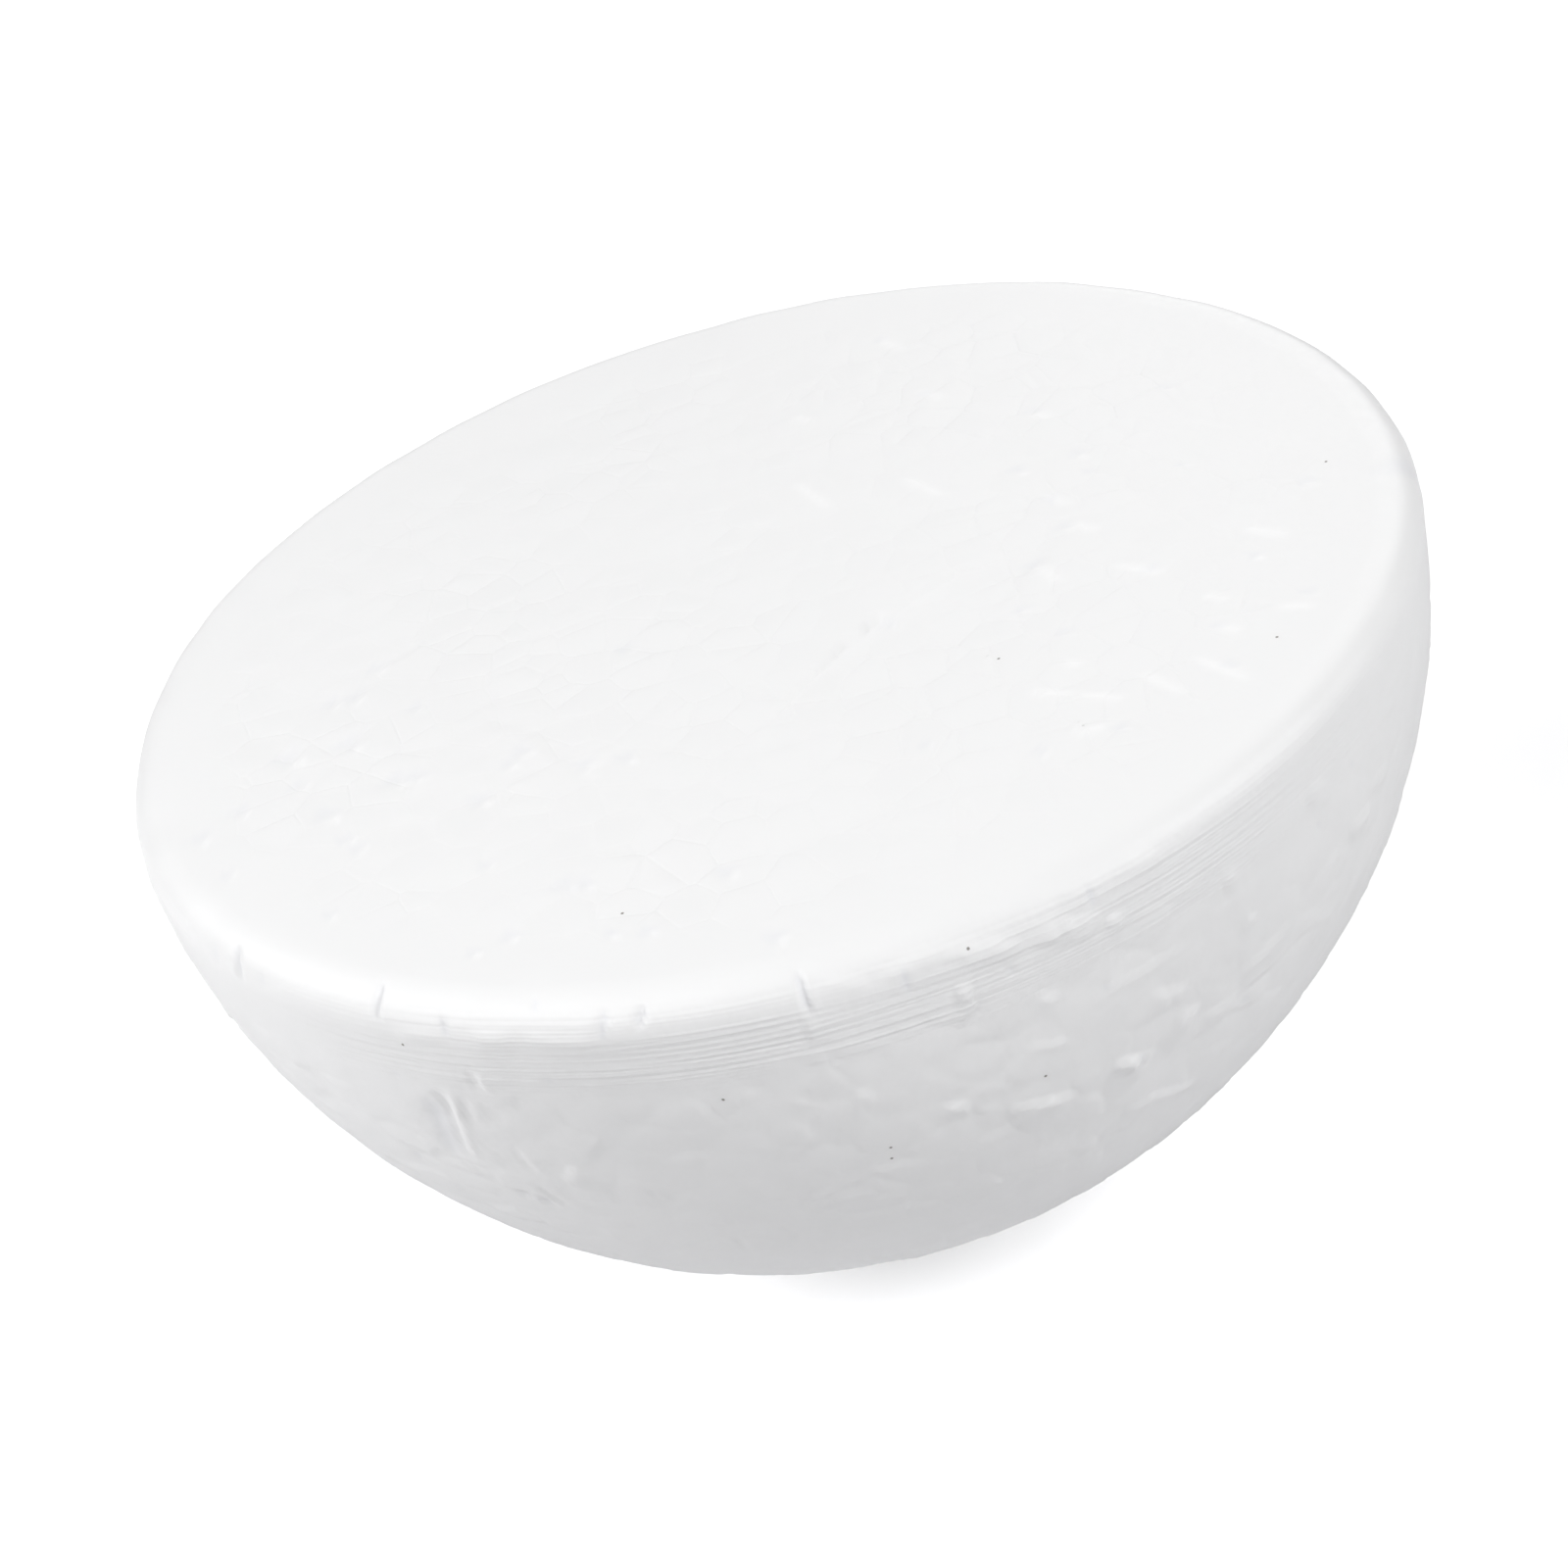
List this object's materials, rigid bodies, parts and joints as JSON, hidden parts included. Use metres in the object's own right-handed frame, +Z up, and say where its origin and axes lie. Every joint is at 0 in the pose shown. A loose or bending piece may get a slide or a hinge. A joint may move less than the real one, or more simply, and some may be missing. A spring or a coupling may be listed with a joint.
{
  "type": "polystyrene half ball",
  "caption": "Solid half ball of white expanded polystyrene foam with a flat face and a rounded rim, for craft and display work.",
  "frame": {"origin": "the foot of the dome's crown, where the half ball stands, under the middle of its flat face", "axes": "+Z up from the crown and square out of the flat face; X and Y are alike, because the shape is round about Z"},
  "size_m": [0.1, 0.1, 0.0529],
  "materials": {
    "foam": "white moulded expanded polystyrene: fused beads of about 3 to 4 mm, matt with a faint sheen on the mould skin"
  },
  "bodies": {
    "root": {"half_ball": "foam"}
  },
  "joints": []
}
